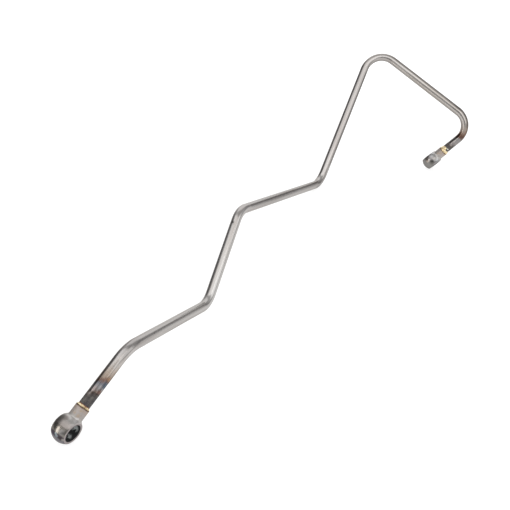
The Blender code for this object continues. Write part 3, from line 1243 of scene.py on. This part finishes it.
# %% Section of a fillet
BRAZE_SIDES = 180
SECTION_POINTS = 14
# How deep the section starts in the steel, and how thick its toe is (mm)
SUNK = 0.1
TOE = 0.02
# The power of its curve: 1 would be a straight chamfer
HOLLOW = 1.4


def fillet_section(shape, height):
    """Drawn one millimetre long, from the mouth down to the tube, and closed inside the tube's wall."""
    tube_r = TUBE_OD / 2
    start = pen(shape, -SUNK * MM, tube_r - SUNK * MM)
    tip = start
    for i in range(SECTION_POINTS + 1):
        t = i / SECTION_POINTS
        tip = line_to(shape, tip, t * MM, tube_r + (height * (1 - t) ** HOLLOW + TOE * t) * MM)
    tip = line_to(shape, tip, 1.0 * MM, tube_r - SUNK * MM)
    shape.edges.new((tip, start))


# %% The toe of a fillet
# Scales of the noise that swells the toe and of the one that frays it, and the fraying's share
SWELL_SCALE = 2.3
FRAY_SCALE = 8.0
FRAY = 0.35
NO_BITE = (0.0, 0.0, 10.0)


def facing(side, angle):
    """1 where a side looks towards an angle (degrees), 0 across it and -1 away from it."""
    return side.y * cos(radians(angle)) + side.z * sin(radians(angle))


def toe_reach(side, length, drawn, wave, seed, bite):
    """How far from the mouth the toe lies on one side (mm)."""
    more, most = drawn
    depth, middle, half_width = bite
    swell = noise.noise(side * SWELL_SCALE + Vector((seed, 0.0, 0.0)))
    frayed = noise.noise(side * FRAY_SCALE + Vector((seed, 7.0, 0.0)))
    near = facing(side, middle) - cos(radians(half_width))
    bitten = depth * max(0.0, near / (1.0 - cos(radians(half_width))))
    return length + more * max(0.0, facing(side, most)) + wave * (swell + FRAY * frayed) - bitten


# %% Braze fillets
# Lumps in a millimetre, and how high they are as a share of the toe's wave
LUMPS = 0.9
LUMP_HEIGHT = 0.5


def make_braze(name, place, length, drawn, height, wave, seed, bite=NO_BITE):
    """A fillet of this length and height, whose toe waves by so much (mm).

    The toe is drawn out further (mm) at an angle (degrees). A bite is a notch in it: its depth (mm), its
    angle and its half width (degrees)."""
    shape = bmesh.new()
    fillet_section(shape, height)
    spin_about_x(shape, BRAZE_SIDES)
    for vertex in shape.verts:
        x, y, z = vertex.co
        r = hypot(y, z)
        side = Vector((0.0, y / r, z / r))
        lump = noise.noise(vertex.co / MM * LUMPS + Vector((seed, 3.0, 0.0)))
        # The lumps die away towards both edges of the fillet
        on_curve = 0.0 < x < MM and r > TUBE_OD / 2
        lift = LUMP_HEIGHT * wave * lump * sin(pi * x / MM) * MM if on_curve else 0.0
        reach = toe_reach(side, length, drawn, wave, seed, bite)
        vertex.co = Vector((x * reach, 0.0, 0.0)) + side * (r + lift)
    lay_down(shape, place)
    braze = make_object(name, shape)
    print(name, "faces", len(braze.data.polygons))
    return braze


first_braze = make_braze("inlet_braze", first_joint, 1.0, (0.0, 0.0), 0.85, 0.35, 1.0)
second_braze = make_braze("outlet_braze", second_joint, 2.2, (2.6, -15.0), 0.95, 0.8, 5.0,
                          bite=(1.5, 22.0, 30.0))

# %% [markdown]
# ## The colour of the brazing metal
#
# As it sets, brazing metal is pale gold where it is clean and brown where flux stayed on it. One gold all
# over would look plated, so a ramp over fine noise runs from brown to nearly white.

# %% Brazing metal
GOLD_BLOT = 1.2
GOLDS = (
    (0.34, (0.46, 0.30, 0.15)),
    (0.46, (0.78, 0.63, 0.38)),
    (0.56, (0.88, 0.75, 0.47)),
    (0.68, (0.97, 0.90, 0.68)),
)


def brazing_metal():
    material, tree, shader = new_finish("brazing_metal")
    blots = cloudy(tree, carried_place(tree, "own"), GOLD_BLOT, detail=3.0)
    feed(tree, shader.inputs["Base Color"], colour_steps(tree, blots, GOLDS))
    shader.inputs["Roughness"].default_value = 0.38
    shader.inputs["Metallic"].default_value = 1.0
    print("brazing metal nodes", len(tree.nodes))
    return material


gold = brazing_metal()
for braze in (first_braze, second_braze):
    braze.data.materials.append(gold)

# %% [markdown]
# ## Hand the pieces over
#
# Each new piece rides on the line's one body and stands for one imported node, which it hides. That could
# be lines of its own for each piece. One list shows at a glance that no node is left out.

# %% Ride and replace
for piece, node, finish in ((tube, "fuel_tube", "drawn_steel"),
                            (first_eye, "inlet_banjo_eye", "tinted_steel"),
                            (second_eye, "outlet_banjo_eye", "tinted_steel"),
                            (first_braze, "inlet_braze_ring", "brazing_metal"),
                            (second_braze, "outlet_braze_ring", "brazing_metal")):
    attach(piece, "root")
    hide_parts(node)

boxes = {"cad": [list(corner) for corner in cad_box], "visual": [list(corner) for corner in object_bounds()]}
for name, (low, high) in boxes.items():
    print(name, "box mm", [round((b - a) / MM, 2) for a, b in zip(low, high)])
